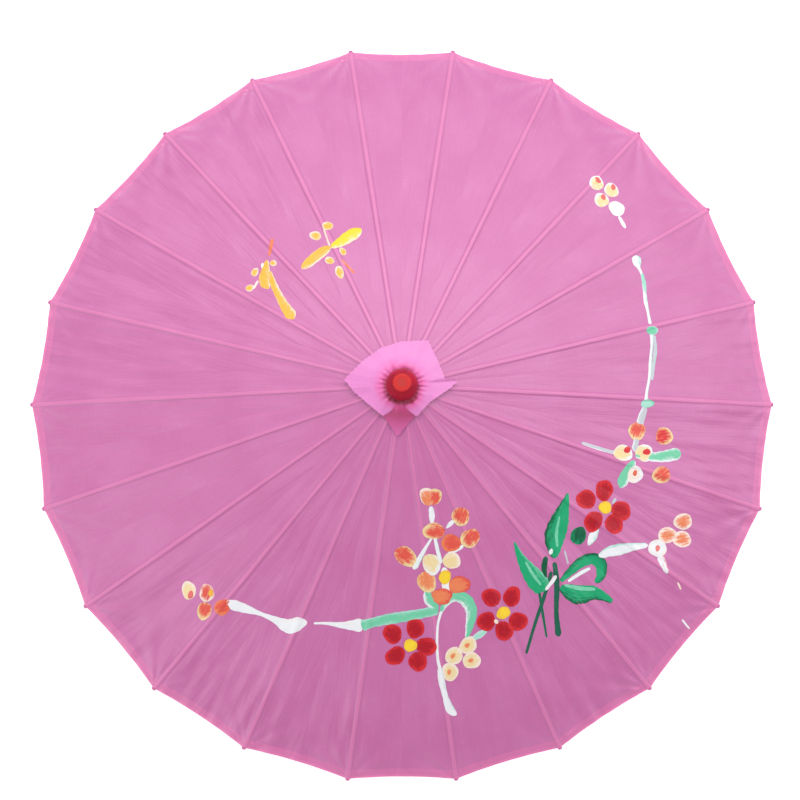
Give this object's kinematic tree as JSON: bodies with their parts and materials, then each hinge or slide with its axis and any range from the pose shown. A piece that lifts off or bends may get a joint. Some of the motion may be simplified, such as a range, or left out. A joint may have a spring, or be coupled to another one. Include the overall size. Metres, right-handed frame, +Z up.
{
  "type": "folding cloth parasol",
  "caption": "Chinese-style folding parasol: painted pink cloth cover, bamboo ribs and stretchers on two toothed hubs, red finial.",
  "frame": {"origin": "middle of the handle's flat end, on the shaft's axis", "axes": "+Z up along the shaft to the finial; +X along rib_01"},
  "size_m": [0.8242, 0.816, 0.5403],
  "materials": {
    "cover_cloth": "matt",
    "cap_cloth": "matt",
    "hinge_thread": "matt",
    "rib_bamboo": "satin",
    "stretcher_bamboo": "satin",
    "shaft_bamboo": "satin",
    "hub_wood": "satin",
    "handle_lacquer": "gloss",
    "finial_lacquer": "gloss",
    "spring_steel": "satin",
    "pin_steel": "satin"
  },
  "bodies": {
    "root": {"handle": "handle_lacquer", "shaft": "shaft_bamboo", "top_hub": "hub_wood", "top_hub_pin": "pin_steel", "top_hub_thread": "hinge_thread", "cover": "cover_cloth", "cap_cloth": "cap_cloth", "finial": "finial_lacquer"},
    "runner": {"runner": "hub_wood", "runner_thread": "hinge_thread"},
    "catch": {"catch_spring": "spring_steel"},
    "rib_01": {"rib_01": "rib_bamboo"},
    "stretcher_01": {"stretcher_01": "stretcher_bamboo"},
    "rib_02": {"rib_02": "rib_bamboo"},
    "stretcher_02": {"stretcher_02": "stretcher_bamboo"},
    "rib_03": {"rib_03": "rib_bamboo"},
    "stretcher_03": {"stretcher_03": "stretcher_bamboo"},
    "rib_04": {"rib_04": "rib_bamboo"},
    "stretcher_04": {"stretcher_04": "stretcher_bamboo"},
    "rib_05": {"rib_05": "rib_bamboo"},
    "stretcher_05": {"stretcher_05": "stretcher_bamboo"},
    "rib_06": {"rib_06": "rib_bamboo"},
    "stretcher_06": {"stretcher_06": "stretcher_bamboo"},
    "rib_07": {"rib_07": "rib_bamboo"},
    "stretcher_07": {"stretcher_07": "stretcher_bamboo"},
    "rib_08": {"rib_08": "rib_bamboo"},
    "stretcher_08": {"stretcher_08": "stretcher_bamboo"},
    "rib_09": {"rib_09": "rib_bamboo"},
    "stretcher_09": {"stretcher_09": "stretcher_bamboo"},
    "rib_10": {"rib_10": "rib_bamboo"},
    "stretcher_10": {"stretcher_10": "stretcher_bamboo"},
    "rib_11": {"rib_11": "rib_bamboo"},
    "stretcher_11": {"stretcher_11": "stretcher_bamboo"},
    "rib_12": {"rib_12": "rib_bamboo"},
    "stretcher_12": {"stretcher_12": "stretcher_bamboo"},
    "rib_13": {"rib_13": "rib_bamboo"},
    "stretcher_13": {"stretcher_13": "stretcher_bamboo"},
    "rib_14": {"rib_14": "rib_bamboo"},
    "stretcher_14": {"stretcher_14": "stretcher_bamboo"},
    "rib_15": {"rib_15": "rib_bamboo"},
    "stretcher_15": {"stretcher_15": "stretcher_bamboo"},
    "rib_16": {"rib_16": "rib_bamboo"},
    "stretcher_16": {"stretcher_16": "stretcher_bamboo"},
    "rib_17": {"rib_17": "rib_bamboo"},
    "stretcher_17": {"stretcher_17": "stretcher_bamboo"},
    "rib_18": {"rib_18": "rib_bamboo"},
    "stretcher_18": {"stretcher_18": "stretcher_bamboo"},
    "rib_19": {"rib_19": "rib_bamboo"},
    "stretcher_19": {"stretcher_19": "stretcher_bamboo"},
    "rib_20": {"rib_20": "rib_bamboo"},
    "stretcher_20": {"stretcher_20": "stretcher_bamboo"},
    "rib_21": {"rib_21": "rib_bamboo"},
    "stretcher_21": {"stretcher_21": "stretcher_bamboo"},
    "rib_22": {"rib_22": "rib_bamboo"},
    "stretcher_22": {"stretcher_22": "stretcher_bamboo"}
  },
  "joints": [
    {"name": "runner_slide", "type": "slide", "parent": "root", "child": "runner", "axis": [0, 0, -1], "range_m": [0, 0.25003], "deforming": ["cover", "cap_cloth", "catch_spring", "runner_thread"]},
    {"name": "catch_press", "type": "hinge", "parent": "root", "child": "catch", "pos_m": [0.00381, 0.00055, 0.31143], "axis": [0.1423, -0.9898, 0], "range_deg": [0, 6], "stiffness_Nm_per_rad": 0.6, "springref_deg": -1.72},
    {"name": "rib_hinge_01", "type": "hinge", "parent": "root", "child": "rib_01", "pos_m": [0.01561, 0, 0.508], "axis": [0, 1, 0], "range_deg": [0, 70.01]},
    {"name": "stretcher_hinge_01", "type": "hinge", "parent": "rib_01", "child": "stretcher_01", "pos_m": [0.19416, 0, 0.44302], "axis": [0, 1, 0], "range_deg": [-140.02, 0]},
    {"name": "rib_hinge_02", "type": "hinge", "parent": "root", "child": "rib_02", "pos_m": [0.01498, 0.0044, 0.508], "axis": [-0.2817, 0.9595, 0], "range_deg": [0, 70.01]},
    {"name": "stretcher_hinge_02", "type": "hinge", "parent": "rib_02", "child": "stretcher_02", "pos_m": [0.18629, 0.0547, 0.44302], "axis": [-0.2817, 0.9595, 0], "range_deg": [-140.02, 0]},
    {"name": "rib_hinge_03", "type": "hinge", "parent": "root", "child": "rib_03", "pos_m": [0.01314, 0.00844, 0.508], "axis": [-0.5406, 0.8413, 0], "range_deg": [0, 70.01]},
    {"name": "stretcher_hinge_03", "type": "hinge", "parent": "rib_03", "child": "stretcher_03", "pos_m": [0.16333, 0.10497, 0.44302], "axis": [-0.5406, 0.8413, 0], "range_deg": [-140.02, 0]},
    {"name": "rib_hinge_04", "type": "hinge", "parent": "root", "child": "rib_04", "pos_m": [0.01023, 0.0118, 0.508], "axis": [-0.7557, 0.6549, 0], "range_deg": [0, 70.01]},
    {"name": "stretcher_hinge_04", "type": "hinge", "parent": "rib_04", "child": "stretcher_04", "pos_m": [0.12715, 0.14673, 0.44302], "axis": [-0.7557, 0.6549, 0], "range_deg": [-140.02, 0]},
    {"name": "rib_hinge_05", "type": "hinge", "parent": "root", "child": "rib_05", "pos_m": [0.00649, 0.0142, 0.508], "axis": [-0.9096, 0.4154, 0], "range_deg": [0, 70.01]},
    {"name": "stretcher_hinge_05", "type": "hinge", "parent": "rib_05", "child": "stretcher_05", "pos_m": [0.08066, 0.17661, 0.44302], "axis": [-0.9096, 0.4154, 0], "range_deg": [-140.02, 0]},
    {"name": "rib_hinge_06", "type": "hinge", "parent": "root", "child": "rib_06", "pos_m": [0.00222, 0.01546, 0.508], "axis": [-0.9898, 0.1423, 0], "range_deg": [0, 70.01]},
    {"name": "stretcher_hinge_06", "type": "hinge", "parent": "rib_06", "child": "stretcher_06", "pos_m": [0.02763, 0.19218, 0.44302], "axis": [-0.9898, 0.1423, 0], "range_deg": [-140.02, 0]},
    {"name": "rib_hinge_07", "type": "hinge", "parent": "root", "child": "rib_07", "pos_m": [-0.00222, 0.01546, 0.508], "axis": [-0.9898, -0.1423, 0], "range_deg": [0, 70.01]},
    {"name": "stretcher_hinge_07", "type": "hinge", "parent": "rib_07", "child": "stretcher_07", "pos_m": [-0.02763, 0.19218, 0.44302], "axis": [-0.9898, -0.1423, 0], "range_deg": [-140.02, 0]},
    {"name": "rib_hinge_08", "type": "hinge", "parent": "root", "child": "rib_08", "pos_m": [-0.00649, 0.0142, 0.508], "axis": [-0.9096, -0.4154, 0], "range_deg": [0, 70.01]},
    {"name": "stretcher_hinge_08", "type": "hinge", "parent": "rib_08", "child": "stretcher_08", "pos_m": [-0.08066, 0.17661, 0.44302], "axis": [-0.9096, -0.4154, 0], "range_deg": [-140.02, 0]},
    {"name": "rib_hinge_09", "type": "hinge", "parent": "root", "child": "rib_09", "pos_m": [-0.01023, 0.0118, 0.508], "axis": [-0.7557, -0.6549, 0], "range_deg": [0, 70.01]},
    {"name": "stretcher_hinge_09", "type": "hinge", "parent": "rib_09", "child": "stretcher_09", "pos_m": [-0.12715, 0.14673, 0.44302], "axis": [-0.7557, -0.6549, 0], "range_deg": [-140.02, 0]},
    {"name": "rib_hinge_10", "type": "hinge", "parent": "root", "child": "rib_10", "pos_m": [-0.01314, 0.00844, 0.508], "axis": [-0.5406, -0.8413, 0], "range_deg": [0, 70.01]},
    {"name": "stretcher_hinge_10", "type": "hinge", "parent": "rib_10", "child": "stretcher_10", "pos_m": [-0.16333, 0.10497, 0.44302], "axis": [-0.5406, -0.8413, 0], "range_deg": [-140.02, 0]},
    {"name": "rib_hinge_11", "type": "hinge", "parent": "root", "child": "rib_11", "pos_m": [-0.01498, 0.0044, 0.508], "axis": [-0.2817, -0.9595, 0], "range_deg": [0, 70.01]},
    {"name": "stretcher_hinge_11", "type": "hinge", "parent": "rib_11", "child": "stretcher_11", "pos_m": [-0.18629, 0.0547, 0.44302], "axis": [-0.2817, -0.9595, 0], "range_deg": [-140.02, 0]},
    {"name": "rib_hinge_12", "type": "hinge", "parent": "root", "child": "rib_12", "pos_m": [-0.01561, 0, 0.508], "axis": [0, -1, 0], "range_deg": [0, 70.01]},
    {"name": "stretcher_hinge_12", "type": "hinge", "parent": "rib_12", "child": "stretcher_12", "pos_m": [-0.19416, 0, 0.44302], "axis": [0, -1, 0], "range_deg": [-140.02, 0]},
    {"name": "rib_hinge_13", "type": "hinge", "parent": "root", "child": "rib_13", "pos_m": [-0.01498, -0.0044, 0.508], "axis": [0.2817, -0.9595, 0], "range_deg": [0, 70.01]},
    {"name": "stretcher_hinge_13", "type": "hinge", "parent": "rib_13", "child": "stretcher_13", "pos_m": [-0.18629, -0.0547, 0.44302], "axis": [0.2817, -0.9595, 0], "range_deg": [-140.02, 0]},
    {"name": "rib_hinge_14", "type": "hinge", "parent": "root", "child": "rib_14", "pos_m": [-0.01314, -0.00844, 0.508], "axis": [0.5406, -0.8413, 0], "range_deg": [0, 70.01]},
    {"name": "stretcher_hinge_14", "type": "hinge", "parent": "rib_14", "child": "stretcher_14", "pos_m": [-0.16333, -0.10497, 0.44302], "axis": [0.5406, -0.8413, 0], "range_deg": [-140.02, 0]},
    {"name": "rib_hinge_15", "type": "hinge", "parent": "root", "child": "rib_15", "pos_m": [-0.01023, -0.0118, 0.508], "axis": [0.7557, -0.6549, 0], "range_deg": [0, 70.01]},
    {"name": "stretcher_hinge_15", "type": "hinge", "parent": "rib_15", "child": "stretcher_15", "pos_m": [-0.12715, -0.14673, 0.44302], "axis": [0.7557, -0.6549, 0], "range_deg": [-140.02, 0]},
    {"name": "rib_hinge_16", "type": "hinge", "parent": "root", "child": "rib_16", "pos_m": [-0.00649, -0.0142, 0.508], "axis": [0.9096, -0.4154, 0], "range_deg": [0, 70.01]},
    {"name": "stretcher_hinge_16", "type": "hinge", "parent": "rib_16", "child": "stretcher_16", "pos_m": [-0.08066, -0.17661, 0.44302], "axis": [0.9096, -0.4154, 0], "range_deg": [-140.02, 0]},
    {"name": "rib_hinge_17", "type": "hinge", "parent": "root", "child": "rib_17", "pos_m": [-0.00222, -0.01546, 0.508], "axis": [0.9898, -0.1423, 0], "range_deg": [0, 70.01]},
    {"name": "stretcher_hinge_17", "type": "hinge", "parent": "rib_17", "child": "stretcher_17", "pos_m": [-0.02763, -0.19218, 0.44302], "axis": [0.9898, -0.1423, 0], "range_deg": [-140.02, 0]},
    {"name": "rib_hinge_18", "type": "hinge", "parent": "root", "child": "rib_18", "pos_m": [0.00222, -0.01546, 0.508], "axis": [0.9898, 0.1423, 0], "range_deg": [0, 70.01]},
    {"name": "stretcher_hinge_18", "type": "hinge", "parent": "rib_18", "child": "stretcher_18", "pos_m": [0.02763, -0.19218, 0.44302], "axis": [0.9898, 0.1423, 0], "range_deg": [-140.02, 0]},
    {"name": "rib_hinge_19", "type": "hinge", "parent": "root", "child": "rib_19", "pos_m": [0.00649, -0.0142, 0.508], "axis": [0.9096, 0.4154, 0], "range_deg": [0, 70.01]},
    {"name": "stretcher_hinge_19", "type": "hinge", "parent": "rib_19", "child": "stretcher_19", "pos_m": [0.08066, -0.17661, 0.44302], "axis": [0.9096, 0.4154, 0], "range_deg": [-140.02, 0]},
    {"name": "rib_hinge_20", "type": "hinge", "parent": "root", "child": "rib_20", "pos_m": [0.01023, -0.0118, 0.508], "axis": [0.7557, 0.6549, 0], "range_deg": [0, 70.01]},
    {"name": "stretcher_hinge_20", "type": "hinge", "parent": "rib_20", "child": "stretcher_20", "pos_m": [0.12715, -0.14673, 0.44302], "axis": [0.7557, 0.6549, 0], "range_deg": [-140.02, 0]},
    {"name": "rib_hinge_21", "type": "hinge", "parent": "root", "child": "rib_21", "pos_m": [0.01314, -0.00844, 0.508], "axis": [0.5406, 0.8413, 0], "range_deg": [0, 70.01]},
    {"name": "stretcher_hinge_21", "type": "hinge", "parent": "rib_21", "child": "stretcher_21", "pos_m": [0.16333, -0.10497, 0.44302], "axis": [0.5406, 0.8413, 0], "range_deg": [-140.02, 0]},
    {"name": "rib_hinge_22", "type": "hinge", "parent": "root", "child": "rib_22", "pos_m": [0.01498, -0.0044, 0.508], "axis": [0.2817, 0.9595, 0], "range_deg": [0, 70.01]},
    {"name": "stretcher_hinge_22", "type": "hinge", "parent": "rib_22", "child": "stretcher_22", "pos_m": [0.18629, -0.0547, 0.44302], "axis": [0.2817, 0.9595, 0], "range_deg": [-140.02, 0]}
  ],
  "couplings": [
    {"joint": "rib_hinge_01", "follows": "runner_slide", "rad_per_m": 4.8863},
    {"joint": "stretcher_hinge_01", "follows": "runner_slide", "rad_per_m": -9.7726},
    {"joint": "rib_hinge_02", "follows": "runner_slide", "rad_per_m": 4.8863},
    {"joint": "stretcher_hinge_02", "follows": "runner_slide", "rad_per_m": -9.7726},
    {"joint": "rib_hinge_03", "follows": "runner_slide", "rad_per_m": 4.8863},
    {"joint": "stretcher_hinge_03", "follows": "runner_slide", "rad_per_m": -9.7726},
    {"joint": "rib_hinge_04", "follows": "runner_slide", "rad_per_m": 4.8863},
    {"joint": "stretcher_hinge_04", "follows": "runner_slide", "rad_per_m": -9.7726},
    {"joint": "rib_hinge_05", "follows": "runner_slide", "rad_per_m": 4.8863},
    {"joint": "stretcher_hinge_05", "follows": "runner_slide", "rad_per_m": -9.7726},
    {"joint": "rib_hinge_06", "follows": "runner_slide", "rad_per_m": 4.8863},
    {"joint": "stretcher_hinge_06", "follows": "runner_slide", "rad_per_m": -9.7726},
    {"joint": "rib_hinge_07", "follows": "runner_slide", "rad_per_m": 4.8863},
    {"joint": "stretcher_hinge_07", "follows": "runner_slide", "rad_per_m": -9.7726},
    {"joint": "rib_hinge_08", "follows": "runner_slide", "rad_per_m": 4.8863},
    {"joint": "stretcher_hinge_08", "follows": "runner_slide", "rad_per_m": -9.7726},
    {"joint": "rib_hinge_09", "follows": "runner_slide", "rad_per_m": 4.8863},
    {"joint": "stretcher_hinge_09", "follows": "runner_slide", "rad_per_m": -9.7726},
    {"joint": "rib_hinge_10", "follows": "runner_slide", "rad_per_m": 4.8863},
    {"joint": "stretcher_hinge_10", "follows": "runner_slide", "rad_per_m": -9.7726},
    {"joint": "rib_hinge_11", "follows": "runner_slide", "rad_per_m": 4.8863},
    {"joint": "stretcher_hinge_11", "follows": "runner_slide", "rad_per_m": -9.7726},
    {"joint": "rib_hinge_12", "follows": "runner_slide", "rad_per_m": 4.8863},
    {"joint": "stretcher_hinge_12", "follows": "runner_slide", "rad_per_m": -9.7726},
    {"joint": "rib_hinge_13", "follows": "runner_slide", "rad_per_m": 4.8863},
    {"joint": "stretcher_hinge_13", "follows": "runner_slide", "rad_per_m": -9.7726},
    {"joint": "rib_hinge_14", "follows": "runner_slide", "rad_per_m": 4.8863},
    {"joint": "stretcher_hinge_14", "follows": "runner_slide", "rad_per_m": -9.7726},
    {"joint": "rib_hinge_15", "follows": "runner_slide", "rad_per_m": 4.8863},
    {"joint": "stretcher_hinge_15", "follows": "runner_slide", "rad_per_m": -9.7726},
    {"joint": "rib_hinge_16", "follows": "runner_slide", "rad_per_m": 4.8863},
    {"joint": "stretcher_hinge_16", "follows": "runner_slide", "rad_per_m": -9.7726},
    {"joint": "rib_hinge_17", "follows": "runner_slide", "rad_per_m": 4.8863},
    {"joint": "stretcher_hinge_17", "follows": "runner_slide", "rad_per_m": -9.7726},
    {"joint": "rib_hinge_18", "follows": "runner_slide", "rad_per_m": 4.8863},
    {"joint": "stretcher_hinge_18", "follows": "runner_slide", "rad_per_m": -9.7726},
    {"joint": "rib_hinge_19", "follows": "runner_slide", "rad_per_m": 4.8863},
    {"joint": "stretcher_hinge_19", "follows": "runner_slide", "rad_per_m": -9.7726},
    {"joint": "rib_hinge_20", "follows": "runner_slide", "rad_per_m": 4.8863},
    {"joint": "stretcher_hinge_20", "follows": "runner_slide", "rad_per_m": -9.7726},
    {"joint": "rib_hinge_21", "follows": "runner_slide", "rad_per_m": 4.8863},
    {"joint": "stretcher_hinge_21", "follows": "runner_slide", "rad_per_m": -9.7726},
    {"joint": "rib_hinge_22", "follows": "runner_slide", "rad_per_m": 4.8863},
    {"joint": "stretcher_hinge_22", "follows": "runner_slide", "rad_per_m": -9.7726}
  ]
}
